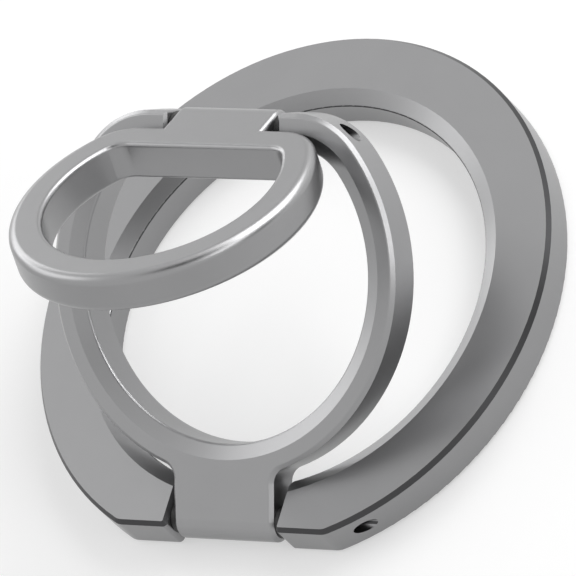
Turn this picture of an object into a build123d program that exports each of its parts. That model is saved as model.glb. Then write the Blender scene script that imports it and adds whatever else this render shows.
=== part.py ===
# Phone ring holder: base ring with magnets, kickstand ring and finger ring
# Millimetres, +Z out of the front face, origin at the centre of the rear pad
from math import cos, radians, sin, sqrt
import os

from build123d import *

os.makedirs("parts", exist_ok=True)

# All three rings are one height, so that they fold flush
ring_height = 4.0

# Base ring
base_outer_radius = 28.0
base_width = 7.3
base_bevel_width = 1.57
base_bevel_drop = 0.86
base_bevel_rounding = 0.25
base_flat_depth = 2.6
base_flat_corner = 2.0
base_edge_inset = 0.35
base_edge_drop = 0.5
base_rear_rounding = 0.2
slot_side_gap = 0.5
slot_outer_rounding = 0.5
slot_inner_rounding = 0.8

# Rear pad and the shallow recess it sits in
pad_thickness = 0.4
pad_proud = 0.2
pad_inset = 0.6
pad_clearance = 0.05

# Magnet channel in the rear of the base ring, filled by a shunt, magnets and a cover
channel_outer_wall = 1.0
channel_width = 4.2
channel_half_opening = 38.0
cover_thickness = 0.4
cover_clearance = 0.05
cover_end_gap = 0.3
magnet_count = 14
magnet_gap_angle = 0.4
magnet_end_angle = 2.0
magnet_thickness = 1.5
magnet_corner_rounding = 0.15
magnet_side_clearance = 0.15
shunt_thickness = 0.5
shunt_side_clearance = 0.1
shunt_end_gap = 0.6

# Middle ring, drawn folded flat in its own plane
middle_gap = 1.2
middle_width = 3.3
middle_bevel_width = 1.52
middle_bevel_drop = 0.6
middle_bevel_rounding = 0.3
middle_edge_chamfer = 0.4
middle_rear_rounding = 0.2
middle_flat_depth = 3.9
middle_flat_corner = 8.5
middle_inner_flat_depth = 4.0
middle_inner_flat_corner = 6.0
ear_side_gap = 0.65
ear_edge_chamfer = 0.3
ear_corner_rounding = 0.3

# Hinge tabs
tab_half_width = 5.7
tab_edge_rounding = 0.5
tab_root_rounding = 1.6

# Metal left between each hinge axis and the flat beside it
lower_hinge_wall = 1.85
upper_hinge_wall = 1.75

# Finger ring, drawn folded flat in its own plane
finger_gap = 1.0
finger_width = 3.35
finger_bar_width = 3.35
finger_outer_offset = 0.45
finger_opening_offset = 0.6
finger_flat_depth = 4.3
finger_flat_corner = 5.3
finger_rim_rounding = 0.9
finger_opening_corner = 2.0
finger_opening_rounding = 0.45

# Hinge pins and their fits
lower_pin_radius = 0.7
upper_pin_radius = 0.8
pin_seat_clearance = 0.01
lower_pin_running_clearance = 0.05
upper_pin_running_clearance = 0.04
lower_pin_left_depth = 6.1
lower_pin_right_depth = 4.9
upper_pin_left_depth = 5.25
upper_pin_right_depth = 4.3
blind_hole_spare = 0.2
pin_end_chamfer = 0.15

# Friction washers beside the tabs
washer_width = 0.85
washer_bore_clearance = 0.06
washer_side_clearance = 0.03

# Pose in the photograph
middle_angle = 30.2
finger_angle = 59.0

# Sizes that follow from those above
base_inner_radius = base_outer_radius - base_width
base_bevel_radius = base_inner_radius + base_bevel_width
base_flat = base_outer_radius - base_flat_depth
slot_half_width = tab_half_width + slot_side_gap
pad_recess_depth = pad_thickness - pad_proud
channel_outer_radius = base_outer_radius - channel_outer_wall
channel_inner_radius = channel_outer_radius - channel_width
channel_depth = pad_recess_depth + cover_thickness + magnet_thickness + shunt_thickness
hinge_height = ring_height / 2
tab_barrel_radius = ring_height / 2
middle_outer_radius = base_inner_radius - middle_gap
middle_inner_radius = middle_outer_radius - middle_width
middle_flat = middle_outer_radius - middle_flat_depth
middle_inner_flat = middle_inner_radius - middle_inner_flat_depth
ear_half_gap = tab_half_width + ear_side_gap
lower_hinge_distance = base_flat - lower_hinge_wall
upper_hinge_distance = middle_flat - upper_hinge_wall
finger_outer_radius = middle_inner_radius - finger_gap
finger_flat = finger_outer_radius + finger_outer_offset - finger_flat_depth
finger_opening_radius = finger_outer_radius - finger_width
finger_opening_flat = finger_flat - finger_bar_width

# Reach of a cut that has to cross everything, and of searches round a known place
cut_reach = 2 * base_outer_radius
corner_reach = 0.3
same_place = 0.01

rear_z = pad_proud
base_face_z = rear_z + ring_height
lower_axis_y = -lower_hinge_distance
lower_axis_z = rear_z + hinge_height

# The middle ring's plane turns up about the lower hinge axis
middle_turn = radians(middle_angle)
middle_plane = Plane(
    origin=(
        0,
        lower_axis_y + lower_hinge_distance * cos(middle_turn) + hinge_height * sin(middle_turn),
        lower_axis_z + lower_hinge_distance * sin(middle_turn) - hinge_height * cos(middle_turn),
    ),
    x_dir=(1, 0, 0),
    z_dir=(0, -sin(middle_turn), cos(middle_turn)),
)

# The finger ring's plane turns forward about the upper hinge axis
finger_turn = radians(middle_angle - finger_angle)
upper_axis = middle_plane.from_local_coords((0, upper_hinge_distance, hinge_height))
finger_plane = Plane(
    origin=(
        0,
        upper_axis.Y - upper_hinge_distance * cos(finger_turn) + hinge_height * sin(finger_turn),
        upper_axis.Z - upper_hinge_distance * sin(finger_turn) - hinge_height * cos(finger_turn),
    ),
    x_dir=(1, 0, 0),
    z_dir=(0, -sin(finger_turn), cos(finger_turn)),
)


def side_plane(plane, x):
    """Plane across the hinge axis at x, with the ring plane's y and z as its axes."""
    return Plane(
        origin=plane.from_local_coords((x, 0, 0)), x_dir=plane.y_dir, z_dir=plane.x_dir
    )


def corner_points(sketch, x, y):
    """Outline corners near (x, y) and its mirror image across the y axis."""
    return [
        v for v in sketch.vertices()
        if abs(abs(v.X) - x) < corner_reach and abs(v.Y - y) < corner_reach
    ]


def flat_radius(plane, edge):
    """Distance of an edge's middle from a ring's centre line."""
    point = plane.to_local_coords(edge.position_at(0.5))
    return sqrt(point.X**2 + point.Y**2)


def flat_height(plane, edge):
    """Height of an edge's middle above a ring's rear face."""
    return plane.to_local_coords(edge.position_at(0.5)).Z


def half_chord(radius, distance):
    """Half the width of a circle at a distance from its centre."""
    return sqrt(radius**2 - distance**2)


def channel_ring(side_clearance, end_gap):
    """Ring in the magnet channel with a clearance at its sides, open round the hinge."""
    Circle(channel_outer_radius - side_clearance)
    Circle(channel_inner_radius + side_clearance, mode=Mode.SUBTRACT)
    end_angle = radians(channel_half_opening + end_gap)
    side = cut_reach * sin(end_angle)
    drop = cut_reach * cos(end_angle)
    Polygon((0, 0), (-side, -drop), (side, -drop), align=None, mode=Mode.SUBTRACT)


def rear_face_outline(inset):
    """Outline of the base ring's rear face with its slot, drawn in by an inset."""
    Circle(base_outer_radius - inset)
    below_flat(base_flat - inset)
    Circle(base_inner_radius + inset, mode=Mode.SUBTRACT)
    with Locations((0, -base_flat)):
        Rectangle(2 * (slot_half_width + inset), 2 * base_width, mode=Mode.SUBTRACT)


def below_flat(distance):
    """Cut an outline flat below y = -distance."""
    with Locations((0, -distance - cut_reach / 2)):
        Rectangle(2 * cut_reach, cut_reach, mode=Mode.SUBTRACT)


def above_flat(distance):
    """Cut an outline flat above y = distance."""
    with Locations((0, distance + cut_reach / 2)):
        Rectangle(2 * cut_reach, cut_reach, mode=Mode.SUBTRACT)


# Base ring
base_corner_x = half_chord(base_outer_radius, base_flat)
slot_inner_y = -half_chord(base_inner_radius, slot_half_width)
lower_pin_left_end = slot_half_width + lower_pin_left_depth
lower_pin_right_end = slot_half_width + lower_pin_right_depth
with BuildPart() as base_ring:
    with BuildSketch(Plane.XY.offset(rear_z)) as base_outline:
        rear_face_outline(0)
        fillet(corner_points(base_outline, base_corner_x, -base_flat), base_flat_corner)
        fillet(corner_points(base_outline, slot_half_width, -base_flat), slot_outer_rounding)
        fillet(corner_points(base_outline, slot_half_width, slot_inner_y), slot_inner_rounding)
    extrude(amount=ring_height)
    fillet(base_ring.edges().group_by(Axis.Z)[0], base_rear_rounding)
    base_front = base_ring.faces().sort_by(Axis.Z)[-1]
    chamfer(
        base_ring.edges().group_by(Axis.Z)[-1],
        length=base_edge_inset, length2=base_edge_drop, reference=base_front,
    )
    # Wide shallow bevel from the front face, rounded into the inner wall
    with BuildSketch(Plane.XZ) as base_bevel:
        bevel_foot = (base_inner_radius, base_face_z - base_bevel_drop)
        opening_side = base_inner_radius - base_bevel_width
        with BuildLine():
            Polyline(
                (opening_side, bevel_foot[1] - base_bevel_drop),
                (base_inner_radius, bevel_foot[1] - base_bevel_drop),
                bevel_foot,
                (base_bevel_radius + base_bevel_width, base_face_z + base_bevel_drop),
                (opening_side, base_face_z + base_bevel_drop),
                close=True,
            )
        make_face()
        fillet(base_bevel.vertices().sort_by_distance(bevel_foot)[0], base_bevel_rounding)
    revolve(axis=Axis.Z, mode=Mode.SUBTRACT)
    # Magnet channel, open at the rear
    with BuildSketch(Plane.XY.offset(rear_z)) as channel:
        channel_ring(0, 0)
    extrude(amount=channel_depth, mode=Mode.SUBTRACT)
    # Shallow recess for the rear pad
    with BuildSketch(Plane.XY.offset(rear_z)) as pad_recess:
        rear_face_outline(pad_inset)
    extrude(amount=pad_recess_depth, mode=Mode.SUBTRACT)
    # Pin hole right through the right ear, blind in the left ear
    with BuildSketch(Plane.YZ.offset(-lower_pin_left_end - blind_hole_spare)) as lower_hole:
        with Locations((lower_axis_y, lower_axis_z)):
            Circle(lower_pin_radius + pin_seat_clearance)
    extrude(amount=lower_pin_left_end + base_outer_radius, mode=Mode.SUBTRACT)
base_ring.part.label = "base_ring"
export_step(base_ring.part, "parts/base_ring.step")

# Rear pad, set into its recess and standing proud of the metal
with BuildPart() as rear_pad:
    with BuildSketch(Plane.XY) as pad_outline:
        rear_face_outline(pad_inset + pad_clearance)
    extrude(amount=pad_thickness)
rear_pad.part.label = "rear_pad"
export_step(rear_pad.part, "parts/rear_pad.step")

# Cover strip over the magnets
cover_z = pad_thickness
with BuildPart() as magnet_cover:
    with BuildSketch(Plane.XY.offset(cover_z)):
        channel_ring(cover_clearance, cover_end_gap)
    extrude(amount=cover_thickness)
magnet_cover.part.label = "magnet_cover"
export_step(magnet_cover.part, "parts/magnet_cover.step")

# Arc magnets, one solid each
magnet_z = cover_z + cover_thickness
first_magnet_angle = -90 + channel_half_opening + magnet_end_angle
magnet_pitch_angle = (360 - 2 * (channel_half_opening + magnet_end_angle)) / magnet_count
for number in range(magnet_count):
    start = first_magnet_angle + number * magnet_pitch_angle
    ends = [
        radians(start + magnet_gap_angle / 2),
        radians(start + magnet_pitch_angle - magnet_gap_angle / 2),
    ]
    with BuildPart() as magnet:
        with BuildSketch(Plane.XY.offset(magnet_z)):
            Circle(channel_outer_radius - magnet_side_clearance)
            Circle(channel_inner_radius + magnet_side_clearance, mode=Mode.SUBTRACT)
            Polygon(
                (0, 0),
                *[(cut_reach * cos(end), cut_reach * sin(end)) for end in ends],
                align=None, mode=Mode.INTERSECT,
            )
        extrude(amount=magnet_thickness)
        fillet(magnet.edges().filter_by(Axis.Z), magnet_corner_rounding)
    magnet.part.label = f"magnet_{number + 1:02d}"
    export_step(magnet.part, f"parts/magnet_{number + 1:02d}.step")

# Steel ring behind the magnets
with BuildPart() as shunt_ring:
    with BuildSketch(Plane.XY.offset(magnet_z + magnet_thickness)):
        channel_ring(shunt_side_clearance, shunt_end_gap)
    extrude(amount=shunt_thickness)
shunt_ring.part.label = "shunt_ring"
export_step(shunt_ring.part, "parts/shunt_ring.step")

# Lower hinge pin, held in the base ring's ears
with BuildPart() as lower_pin:
    with BuildSketch(Plane.YZ.offset(-lower_pin_left_end)):
        with Locations((lower_axis_y, lower_axis_z)):
            Circle(lower_pin_radius)
    extrude(amount=lower_pin_left_end + lower_pin_right_end)
    chamfer(lower_pin.edges().filter_by(GeomType.CIRCLE), pin_end_chamfer)
lower_pin.part.label = "lower_pin"
export_step(lower_pin.part, "parts/lower_pin.step")

# Washers between the middle ring's tab and the base ring's ears
for side, start in (("left", -slot_half_width), ("right", tab_half_width)):
    with BuildPart() as lower_washer:
        with BuildSketch(Plane.YZ.offset(start + washer_side_clearance)):
            with Locations((lower_axis_y, lower_axis_z)):
                Circle(lower_pin_radius + washer_width)
                Circle(lower_pin_radius + washer_bore_clearance, mode=Mode.SUBTRACT)
        extrude(amount=slot_side_gap - 2 * washer_side_clearance)
    lower_washer.part.label = f"lower_washer_{side}"
    export_step(lower_washer.part, f"parts/lower_washer_{side}.step")

# Middle ring
middle_corner_x = half_chord(middle_outer_radius, middle_flat)
middle_inner_corner_x = half_chord(middle_inner_radius, middle_inner_flat)
tab_root_y = -half_chord(middle_outer_radius, tab_half_width)
tab_length = lower_hinge_distance - middle_inner_radius
ear_cut_length = 2 * (middle_width + middle_inner_flat_depth)
upper_pin_left_end = ear_half_gap + upper_pin_left_depth
upper_pin_right_end = ear_half_gap + upper_pin_right_depth
middle_normal = Axis(middle_plane.origin, middle_plane.z_dir)
with BuildPart() as middle_ring:
    with BuildSketch(middle_plane) as middle_outline:
        Circle(middle_outer_radius)
        above_flat(middle_flat)
        with Locations((0, tab_length / 2 - lower_hinge_distance)):
            Rectangle(2 * tab_half_width, tab_length)
        fillet(
            corner_points(middle_outline, middle_corner_x, middle_flat),
            middle_flat_corner,
        )
        fillet(corner_points(middle_outline, tab_half_width, tab_root_y), tab_root_rounding)
    extrude(amount=ring_height)
    # Rounded end of the tab about the lower hinge axis
    with BuildSketch(side_plane(middle_plane, -tab_half_width)) as lower_barrel:
        with Locations((-lower_hinge_distance, hinge_height)):
            Circle(tab_barrel_radius)
    extrude(amount=2 * tab_half_width)
    # Bright edge round the front, along the tab and round its end
    outer_edges = [
        e for e in middle_ring.edges().group_by(middle_normal)[-1]
        if flat_radius(middle_plane, e) < lower_hinge_distance - corner_reach
    ]
    barrel_edges = [
        e for e in middle_ring.edges().filter_by(GeomType.CIRCLE)
        if abs(e.radius - tab_barrel_radius) < corner_reach
    ]
    chamfer(outer_edges + barrel_edges, length=middle_edge_chamfer)
    rear_edges = [
        e for e in middle_ring.edges().group_by(middle_normal)[0]
        if middle_plane.to_local_coords(e.position_at(0.5)).Y > tab_root_y + tab_root_rounding
    ]
    fillet(rear_edges, middle_rear_rounding)
    # Opening with a flat behind the finger ring's hinge
    with BuildSketch(middle_plane) as middle_opening:
        Circle(middle_inner_radius)
        above_flat(middle_inner_flat)
        fillet(
            corner_points(middle_opening, middle_inner_corner_x, middle_inner_flat),
            middle_inner_flat_corner,
        )
    extrude(amount=ring_height, mode=Mode.SUBTRACT)
    opening_edges = [
        e for e in middle_ring.edges().group_by(middle_normal)[-1]
        if flat_radius(middle_plane, e) < middle_inner_radius + corner_reach
    ]
    middle_front = middle_ring.faces().sort_by(middle_normal)[-1]
    chamfer(
        opening_edges,
        length=middle_bevel_width, length2=middle_bevel_drop, reference=middle_front,
    )
    bevel_foot_edges = [
        e for e in middle_ring.edges()
        if flat_radius(middle_plane, e) < middle_inner_radius + corner_reach
        and abs(flat_height(middle_plane, e) - (ring_height - middle_bevel_drop)) < same_place
    ]
    fillet(bevel_foot_edges, middle_bevel_rounding)
    # Gap for the finger ring's tab
    with BuildSketch(middle_plane) as ear_gap:
        with Locations((0, middle_flat)):
            Rectangle(2 * ear_half_gap, ear_cut_length)
    extrude(amount=ring_height, mode=Mode.SUBTRACT)
    ear_corners = [
        e for e in middle_ring.edges().filter_by(middle_normal)
        if abs(abs(e.center().X) - ear_half_gap) < same_place
        and abs(middle_plane.to_local_coords(e.center()).Y - middle_flat) < same_place
    ]
    fillet(ear_corners, ear_corner_rounding)
    with BuildSketch(middle_plane.offset(ring_height - ear_edge_chamfer)) as ear_bevel:
        with Locations((0, middle_flat)):
            Rectangle(2 * ear_half_gap, ear_cut_length)
    extrude(amount=ear_edge_chamfer, taper=-45, mode=Mode.SUBTRACT)
    # Running hole through the tab
    with BuildSketch(side_plane(middle_plane, -tab_half_width)) as lower_running_hole:
        with Locations((-lower_hinge_distance, hinge_height)):
            Circle(lower_pin_radius + lower_pin_running_clearance)
    extrude(amount=2 * tab_half_width, mode=Mode.SUBTRACT)
    # Pin hole right through the right ear, blind in the left ear
    with BuildSketch(side_plane(middle_plane, -upper_pin_left_end - blind_hole_spare)):
        with Locations((upper_hinge_distance, hinge_height)):
            Circle(upper_pin_radius + pin_seat_clearance)
    extrude(amount=upper_pin_left_end + middle_outer_radius, mode=Mode.SUBTRACT)
middle_ring.part.label = "middle_ring"
export_step(middle_ring.part, "parts/middle_ring.step")

# Upper hinge pin, held in the middle ring's ears
with BuildPart() as upper_pin:
    with BuildSketch(side_plane(middle_plane, -upper_pin_left_end)):
        with Locations((upper_hinge_distance, hinge_height)):
            Circle(upper_pin_radius)
    extrude(amount=upper_pin_left_end + upper_pin_right_end)
    chamfer(upper_pin.edges().filter_by(GeomType.CIRCLE), pin_end_chamfer)
upper_pin.part.label = "upper_pin"
export_step(upper_pin.part, "parts/upper_pin.step")

# Washers between the finger ring's tab and the middle ring's ears
for side, start in (("left", -ear_half_gap), ("right", tab_half_width)):
    with BuildPart() as upper_washer:
        with BuildSketch(side_plane(middle_plane, start + washer_side_clearance)):
            with Locations((upper_hinge_distance, hinge_height)):
                Circle(upper_pin_radius + washer_width)
                Circle(upper_pin_radius + washer_bore_clearance, mode=Mode.SUBTRACT)
        extrude(amount=ear_side_gap - 2 * washer_side_clearance)
    upper_washer.part.label = f"upper_washer_{side}"
    export_step(upper_washer.part, f"parts/upper_washer_{side}.step")

# Tab of the finger ring, with a rounded end about the upper hinge axis and soft edges
tab_start = finger_opening_flat + finger_bar_width / 2
with BuildPart() as finger_tab:
    with BuildSketch(side_plane(finger_plane, -tab_half_width)) as tab_profile:
        with Locations((upper_hinge_distance, hinge_height)):
            Circle(tab_barrel_radius)
        with Locations(((tab_start + upper_hinge_distance) / 2, ring_height / 2)):
            Rectangle(upper_hinge_distance - tab_start, ring_height)
    extrude(amount=2 * tab_half_width)
    tab_sides = finger_tab.faces().sort_by(Axis.X)
    fillet(tab_sides[0].edges() + tab_sides[-1].edges(), tab_edge_rounding)

# Finger ring
finger_normal = Axis(finger_plane.origin, finger_plane.z_dir)
finger_corner_x = half_chord(finger_outer_radius, finger_flat - finger_outer_offset)
finger_opening_corner_x = half_chord(
    finger_opening_radius, finger_opening_flat - finger_opening_offset
)
with BuildPart() as finger_ring:
    with BuildSketch(finger_plane) as finger_outline:
        with Locations((0, finger_outer_offset)):
            Circle(finger_outer_radius)
        above_flat(finger_flat)
        fillet(corner_points(finger_outline, finger_corner_x, finger_flat), finger_flat_corner)
    extrude(amount=ring_height)
    rim_groups = finger_ring.edges().group_by(finger_normal)
    fillet(rim_groups[0] + rim_groups[-1], finger_rim_rounding)
    # Opening for the finger, flat along the hinge
    with BuildSketch(finger_plane) as finger_opening:
        with Locations((0, finger_opening_offset)):
            Circle(finger_opening_radius)
        above_flat(finger_opening_flat)
        fillet(
            corner_points(finger_opening, finger_opening_corner_x, finger_opening_flat),
            finger_opening_corner,
        )
    extrude(amount=ring_height, mode=Mode.SUBTRACT)
    opening_groups = finger_ring.edges().group_by(finger_normal)
    opening_reach = finger_opening_radius + finger_opening_offset + corner_reach
    opening_rims = [
        e for e in opening_groups[0] + opening_groups[-1]
        if flat_radius(finger_plane, e) < opening_reach
    ]
    fillet(opening_rims, finger_opening_rounding)
    add(finger_tab.part)
    # Running hole through the tab
    with BuildSketch(side_plane(finger_plane, -tab_half_width)) as upper_running_hole:
        with Locations((upper_hinge_distance, hinge_height)):
            Circle(upper_pin_radius + upper_pin_running_clearance)
    extrude(amount=2 * tab_half_width, mode=Mode.SUBTRACT)
finger_ring.part.label = "finger_ring"
export_step(finger_ring.part, "parts/finger_ring.step")
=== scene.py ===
from math import pi, radians

import bpy
from mathutils import Matrix, Vector

MM = 0.001

# Camera, from the fit of the three rings' circular edges to the photograph
CAMERA_TARGET = Vector((-1.87, 1.33, 2.21)) * MM
CAMERA_AZIMUTH = radians(-34.063)
CAMERA_ELEVATION = radians(48.765)
CAMERA_ROLL = radians(-45.93)
CAMERA_DISTANCE = 1023.9 * MM
CAMERA_LENS = 661.3
CAMERA_CLIP_START = 0.05
CAMERA_CLIP_END = 20
SENSOR_WIDTH = 36.0

# Floor: its size, how far it lies below the rear pad so that the two faces don't share a
# plane, its colour, and the part of its white that shows by itself
FLOOR_SIZE = 6.0
FLOOR_DROP = 0.05 * MM
FLOOR_TONE = (0.93, 0.93, 0.93)
FLOOR_GLOW = 0.45

# Brightness of the world as a fill light
WORLD_FILL = 0.55

# Black flags, and the roughness that they share with the floor
FLAG_TONE = (0.02, 0.02, 0.02)
MATT_ROUGHNESS = 0.9

# Range that holds most of a noise's values, and the detail of the fine grain
NOISE_LOW = 0.3
NOISE_HIGH = 0.7
GRAIN_DETAIL = 3.0

# Satin metal of the three rings
RING_METAL = {
    "dark": (0.292, 0.292, 0.296),
    "light": (0.298, 0.298, 0.302),
    "roughness": (0.30, 0.34),
    "metallic": 1.0,
}

# Painted dark reflection on the base ring's thin front chamfer: the slopes where it is painted,
# as the up part of the normal, and its tone
PAINTED_REFLECTION_SLOPES = (0.3, 0.7)
PAINTED_REFLECTION_TONE = (0.06, 0.06, 0.062)


def direction(azimuth, elevation):
    """Unit vector towards an azimuth from +X and an elevation above the floor."""
    flat = Matrix.Rotation(-elevation, 3, "Y") @ Vector((1, 0, 0))
    return Matrix.Rotation(azimuth, 3, "Z") @ flat


def facing(place, target):
    """Rotation that turns an object's -Z from its place towards a target."""
    return (target - place).to_track_quat("-Z", "Y").to_matrix().to_4x4()


def new_material(name):
    """New node material, with its node tree and its shader to build on."""
    material = bpy.data.materials.new(name)
    material.use_nodes = True
    return material, material.node_tree, material.node_tree.nodes["Principled BSDF"]


def link(tree, output, target):
    """Connect a node's output to another node's input."""
    tree.links.new(output, target)


def noise(tree, size, detail=2.0, stretch=(1, 1, 1)):
    """Noise in the object's own space, with grains of about the given size."""
    place = tree.nodes.new("ShaderNodeTexCoord")
    scale = tree.nodes.new("ShaderNodeMapping")
    scale.inputs["Scale"].default_value = stretch
    texture = tree.nodes.new("ShaderNodeTexNoise")
    texture.inputs["Scale"].default_value = 1 / size
    texture.inputs["Detail"].default_value = detail
    link(tree, place.outputs["Object"], scale.inputs["Vector"])
    link(tree, scale.outputs["Vector"], texture.inputs["Vector"])
    return texture.outputs["Fac"]


def between(tree, value, low, high, start=0.0, end=1.0):
    """A value's range from start to end, moved to run from low to high."""
    ramp = tree.nodes.new("ShaderNodeMapRange")
    ramp.inputs["From Min"].default_value = start
    ramp.inputs["From Max"].default_value = end
    ramp.inputs["To Min"].default_value = low
    ramp.inputs["To Max"].default_value = high
    link(tree, value, ramp.inputs["Value"])
    return ramp.outputs["Result"]


def spread(tree, value, low, high):
    """The noise's middle range stretched to run from low to high."""
    return between(tree, value, low, high, start=NOISE_LOW, end=NOISE_HIGH)


def shade(tree, value, dark, light):
    """Colour that a value from 0 to 1 moves between a dark and a light tone."""
    mix = tree.nodes.new("ShaderNodeMix")
    mix.data_type = "RGBA"
    mix.inputs["A"].default_value = (*dark, 1)
    mix.inputs["B"].default_value = (*light, 1)
    link(tree, value, mix.inputs["Factor"])
    return mix.outputs["Result"]


def surface(name, dark, light, roughness, metallic=0.0, cloud=4 * MM, grain=0.2 * MM,
            bump=0.15, depth=0.01 * MM, stretch=(1, 1, 1)):
    """Material with a clouded colour and a fine grain in its roughness and its relief."""
    material, tree, shader = new_material(name)
    clouds = spread(tree, noise(tree, cloud, stretch=stretch), 0, 1)
    grains = noise(tree, grain, detail=GRAIN_DETAIL, stretch=stretch)
    link(tree, shade(tree, clouds, dark, light), shader.inputs["Base Color"])
    link(tree, spread(tree, grains, *roughness), shader.inputs["Roughness"])
    relief = tree.nodes.new("ShaderNodeBump")
    relief.inputs["Strength"].default_value = bump
    relief.inputs["Distance"].default_value = depth
    link(tree, grains, relief.inputs["Height"])
    link(tree, relief.outputs["Normal"], shader.inputs["Normal"])
    shader.inputs["Metallic"].default_value = metallic
    return material


def darken_slopes(material, slopes, tone):
    """Give a material another tone where the up part of its normal is in a range."""
    tree = material.node_tree
    shader = tree.nodes["Principled BSDF"]
    plain = shader.inputs["Base Color"].links[0].from_socket
    low, high = slopes
    place = tree.nodes.new("ShaderNodeTexCoord")
    parts = tree.nodes.new("ShaderNodeSeparateXYZ")
    sloping = tree.nodes.new("ShaderNodeMath")
    sloping.operation = "COMPARE"
    sloping.inputs[1].default_value = (low + high) / 2
    sloping.inputs[2].default_value = (high - low) / 2
    mix = tree.nodes.new("ShaderNodeMix")
    mix.data_type = "RGBA"
    mix.inputs["B"].default_value = (*tone, 1)
    link(tree, place.outputs["Normal"], parts.inputs["Vector"])
    link(tree, parts.outputs["Z"], sloping.inputs[0])
    link(tree, sloping.outputs["Value"], mix.inputs["Factor"])
    link(tree, plain, mix.inputs["A"])
    link(tree, mix.outputs["Result"], shader.inputs["Base Color"])


def seen(tree):
    """1 for a ray from the camera, a glossy surface or a clear one, and 0 for the rest."""
    path = tree.nodes.new("ShaderNodeLightPath")
    result = path.outputs["Is Camera Ray"]
    for kind in ("Is Glossy Ray", "Is Transmission Ray"):
        larger = tree.nodes.new("ShaderNodeMath")
        larger.operation = "MAXIMUM"
        link(tree, result, larger.inputs[0])
        link(tree, path.outputs[kind], larger.inputs[1])
        result = larger.outputs["Value"]
    return result


def dress(nodes, names, material):
    """Give the named CAD nodes one material."""
    for name in names:
        mesh = nodes[name].data
        mesh.materials.clear()
        mesh.materials.append(material)


def placed(thing, azimuth, elevation, distance):
    """Put an object round the target, in degrees and metres, and turn it to face it."""
    place = CAMERA_TARGET + distance * direction(radians(azimuth), radians(elevation))
    thing.matrix_world = Matrix.Translation(place) @ facing(place, CAMERA_TARGET)
    bpy.context.scene.collection.objects.link(thing)
    return thing


def area_lamp(name, azimuth, elevation, distance, width, height, strength):
    """Soft box that faces the object, its strength given as the brightness it shows."""
    lamp = bpy.data.lights.new(name, "AREA")
    lamp.shape = "RECTANGLE"
    lamp.size = width
    lamp.size_y = height
    lamp.energy = strength * pi * width * height
    placed(bpy.data.objects.new(name, lamp), azimuth, elevation, distance)


def panel(name, width, height):
    """Flat rectangle about its own centre."""
    mesh = bpy.data.meshes.new(name)
    signs = ((-1, -1), (1, -1), (1, 1), (-1, 1))
    corners = [(x * width / 2, y * height / 2, 0) for x, y in signs]
    mesh.from_pydata(corners, [], [(0, 1, 2, 3)])
    return bpy.data.objects.new(name, mesh)


def black_flag(name, azimuth, elevation, distance, width, height):
    """Black card that faces the object and that the camera itself doesn't see."""
    flag = placed(panel(name, width, height), azimuth, elevation, distance)
    flag.visible_camera = False
    material, _, shader = new_material(name)
    shader.inputs["Base Color"].default_value = (*FLAG_TONE, 1)
    shader.inputs["Roughness"].default_value = MATT_ROUGHNESS
    flag.data.materials.append(material)


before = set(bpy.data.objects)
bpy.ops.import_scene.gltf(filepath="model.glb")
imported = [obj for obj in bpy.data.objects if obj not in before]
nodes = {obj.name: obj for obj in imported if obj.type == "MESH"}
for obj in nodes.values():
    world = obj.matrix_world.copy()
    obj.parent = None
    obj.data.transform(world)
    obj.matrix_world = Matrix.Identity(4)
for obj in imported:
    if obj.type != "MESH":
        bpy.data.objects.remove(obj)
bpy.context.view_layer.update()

# Rings: one satin metal, with a painted dark reflection on the base ring's front chamfer
dress(nodes, ["middle_ring", "finger_ring"], surface("ring_metal", **RING_METAL))
base_metal_painted_reflection = surface("base_metal_painted_reflection", **RING_METAL)
# Painted dark reflection: the chamfer's slopes get a near-black tone in place of the metal's
# colour
darken_slopes(base_metal_painted_reflection, PAINTED_REFLECTION_SLOPES, PAINTED_REFLECTION_TONE)
dress(nodes, ["base_ring"], base_metal_painted_reflection)

# Hinge pins
dress(nodes, ["lower_pin", "upper_pin"], surface(
    "pin_steel",
    dark=(0.50, 0.50, 0.51),
    light=(0.58, 0.58, 0.59),
    roughness=(0.18, 0.28),
    metallic=1.0,
    stretch=(8, 1, 1),
))

# Washers beside the tabs
washers = ["lower_washer_left", "lower_washer_right", "upper_washer_left", "upper_washer_right"]
dress(nodes, washers, surface(
    "washer_plastic",
    dark=(0.012, 0.012, 0.012),
    light=(0.02, 0.02, 0.02),
    roughness=(0.45, 0.6),
    cloud=1 * MM,
))

# Shunt ring behind the magnets
dress(nodes, ["shunt_ring"], surface(
    "shunt_steel",
    dark=(0.40, 0.40, 0.41),
    light=(0.50, 0.50, 0.51),
    roughness=(0.25, 0.4),
    metallic=1.0,
    stretch=(6, 1, 1),
))

# Cover over the magnets
dress(nodes, ["magnet_cover"], surface(
    "cover_plastic",
    dark=(0.02, 0.02, 0.02),
    light=(0.03, 0.03, 0.03),
    roughness=(0.4, 0.55),
))

# Soft pad that touches the phone
dress(nodes, ["rear_pad"], surface(
    "pad_rubber",
    dark=(0.022, 0.022, 0.024),
    light=(0.032, 0.032, 0.034),
    roughness=(0.65, 0.8),
    bump=0.2,
    depth=0.02 * MM,
))

# Magnets
magnets = [name for name in nodes if name.startswith("magnet_") and name != "magnet_cover"]
dress(nodes, magnets, surface(
    "magnet_plating",
    dark=(0.58, 0.56, 0.53),
    light=(0.66, 0.64, 0.61),
    roughness=(0.12, 0.2),
    metallic=1.0,
))

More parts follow.
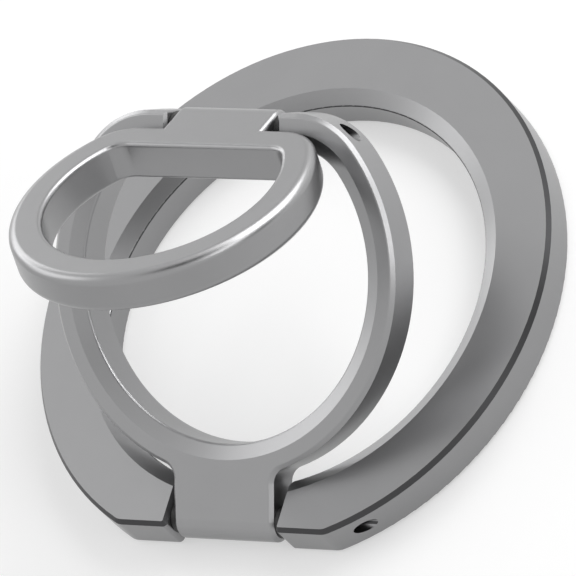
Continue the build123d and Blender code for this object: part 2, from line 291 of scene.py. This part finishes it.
# White floor, which keeps the object's shadow; part of its white shows by itself where it
# is seen, directly or in metal, as the world's does
floor = panel("floor", FLOOR_SIZE, FLOOR_SIZE)
floor.location.z = -FLOOR_DROP
bpy.context.scene.collection.objects.link(floor)
floor_material, floor_tree, floor_shader = new_material("floor_white")
floor_shader.inputs["Base Color"].default_value = (*FLOOR_TONE, 1)
floor_shader.inputs["Roughness"].default_value = MATT_ROUGHNESS
floor_shader.inputs["Specular IOR Level"].default_value = 0.0
glow = floor_tree.nodes.new("ShaderNodeEmission")
blend = floor_tree.nodes.new("ShaderNodeMixShader")
output = floor_tree.nodes["Material Output"]
link(floor_tree, between(floor_tree, seen(floor_tree), 0, FLOOR_GLOW), blend.inputs["Fac"])
link(floor_tree, floor_shader.outputs["BSDF"], blend.inputs[1])
link(floor_tree, glow.outputs["Emission"], blend.inputs[2])
link(floor_tree, blend.outputs["Shader"], output.inputs["Surface"])
floor.data.materials.append(floor_material)

# World: white where it is seen, directly or in metal, and a soft fill otherwise
world = bpy.data.worlds.new("studio")
bpy.context.scene.world = world
world.use_nodes = True
sky = world.node_tree
background = sky.nodes["Background"]
background.inputs["Color"].default_value = (1, 1, 1, 1)
link(sky, between(sky, seen(sky), WORLD_FILL, 1), background.inputs["Strength"])

# Lamps: azimuth and elevation, distance, width and height, brightness
area_lamp("key", 60, 32, 0.25, 0.22, 0.20, 4.0)
area_lamp("band", 15, 37, 0.8, 0.9, 0.22, 2.6)
area_lamp("side", 148, 12, 1.2, 0.8, 0.5, 2.3)
area_lamp("tall", 180, 36, 1.2, 0.6, 0.9, 1.4)

# Black flags out of view, which the metal shows as dark reflections: azimuth and
# elevation, distance, width and height
black_flag("flag_above", 0, 70, 0.8, 0.44, 0.44)
black_flag("flag_right", 14, 8, 0.8, 0.42, 0.18)

# Camera
camera_data = bpy.data.cameras.new("camera")
camera_data.lens = CAMERA_LENS
camera_data.sensor_width = SENSOR_WIDTH
camera_data.clip_start = CAMERA_CLIP_START
camera_data.clip_end = CAMERA_CLIP_END
camera = bpy.data.objects.new("camera", camera_data)
camera_place = CAMERA_TARGET + CAMERA_DISTANCE * direction(CAMERA_AZIMUTH, CAMERA_ELEVATION)
camera.matrix_world = (
    Matrix.Translation(camera_place)
    @ facing(camera_place, CAMERA_TARGET)
    @ Matrix.Rotation(CAMERA_ROLL, 4, "Z")
)
bpy.context.scene.collection.objects.link(camera)
bpy.context.scene.camera = camera
bpy.context.scene.view_settings.view_transform = "Standard"
